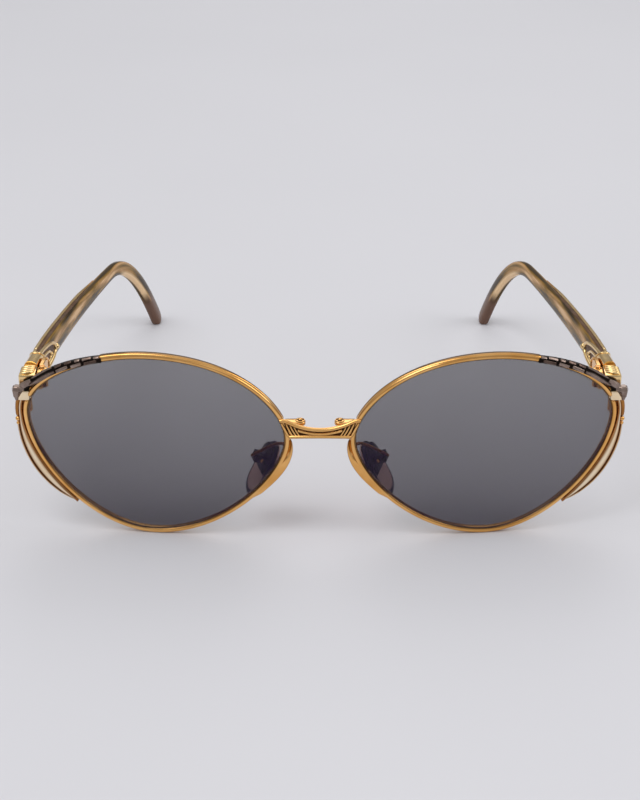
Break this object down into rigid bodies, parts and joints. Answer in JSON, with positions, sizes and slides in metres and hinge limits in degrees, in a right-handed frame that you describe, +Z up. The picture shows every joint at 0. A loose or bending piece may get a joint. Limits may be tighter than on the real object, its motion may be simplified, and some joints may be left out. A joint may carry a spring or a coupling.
{
  "type": "sunglasses",
  "caption": "Oval metal sunglasses with grey tinted lenses, fluted bridge, dark corner trims, rocking nose pads and folding clear-sleeved temples.",
  "frame": {"origin": "centre of the bounding box on the table, where the rims and the temple tips stand", "axes": "+X to the wearer's left, +Y from the front to the temple tips, +Z up"},
  "size_m": [0.1436, 0.1282, 0.0481],
  "materials": {
    "gold": "polished warm gold plate",
    "lens_tint": "polished grey resin, see-through",
    "dark_enamel": "dark brown enamel with bright facets",
    "sleeve_plastic": "clear champagne, polished",
    "pad_plastic": "clear mauve, polished"
  },
  "bodies": {
    "front": {"bridge": "gold", "left_rim": "gold", "left_lens": "lens_tint", "left_brow_bar": "gold", "left_brow_trim": "dark_enamel", "left_end_cap": "dark_enamel", "left_side_bar": "gold", "left_side_rod": "gold", "left_nose_flange": "gold", "left_rim_lock": "gold", "left_lock_screw": "gold", "left_pad_box": "gold", "left_pad_screw": "gold", "left_pad_arm": "gold", "left_bridge_lug": "gold", "left_bridge_rivet": "gold", "left_end_piece": "gold", "left_front_leaf": "gold", "left_hinge_screw": "gold", "right_rim": "gold", "right_lens": "lens_tint", "right_brow_bar": "gold", "right_brow_trim": "dark_enamel", "right_end_cap": "dark_enamel", "right_side_bar": "gold", "right_side_rod": "gold", "right_nose_flange": "gold", "right_rim_lock": "gold", "right_lock_screw": "gold", "right_pad_box": "gold", "right_pad_screw": "gold", "right_pad_arm": "gold", "right_bridge_lug": "gold", "right_bridge_rivet": "gold", "right_end_piece": "gold", "right_front_leaf": "gold", "right_hinge_screw": "gold"},
    "left_temple": {"left_temple_leaf": "gold", "left_temple_core": "gold", "left_temple_sleeve": "sleeve_plastic", "left_temple_ferrule": "gold", "left_temple_strip": "gold"},
    "left_pad": {"left_nose_pad": "pad_plastic", "left_pad_plate": "gold"},
    "right_temple": {"right_temple_leaf": "gold", "right_temple_core": "gold", "right_temple_sleeve": "sleeve_plastic", "right_temple_ferrule": "gold", "right_temple_strip": "gold"},
    "right_pad": {"right_nose_pad": "pad_plastic", "right_pad_plate": "gold"}
  },
  "joints": [
    {"name": "left_temple_fold", "type": "hinge", "parent": "front", "child": "left_temple", "pos_m": [0.0652, -0.051, 0.0368], "axis": [0, 0, 1], "range_deg": [0, 83]},
    {"name": "right_temple_fold", "type": "hinge", "parent": "front", "child": "right_temple", "pos_m": [-0.0652, -0.051, 0.0368], "axis": [0, 0, -1], "range_deg": [0, 79]},
    {"name": "left_pad_rock", "type": "hinge", "parent": "front", "child": "left_pad", "pos_m": [0.01418, -0.05544, 0.01774], "axis": [0.302, 0.9397, 0.1606], "range_deg": [-10, 10]},
    {"name": "right_pad_rock", "type": "hinge", "parent": "front", "child": "right_pad", "pos_m": [-0.01418, -0.05544, 0.01774], "axis": [0.302, -0.9397, -0.1606], "range_deg": [-10, 10]}
  ]
}
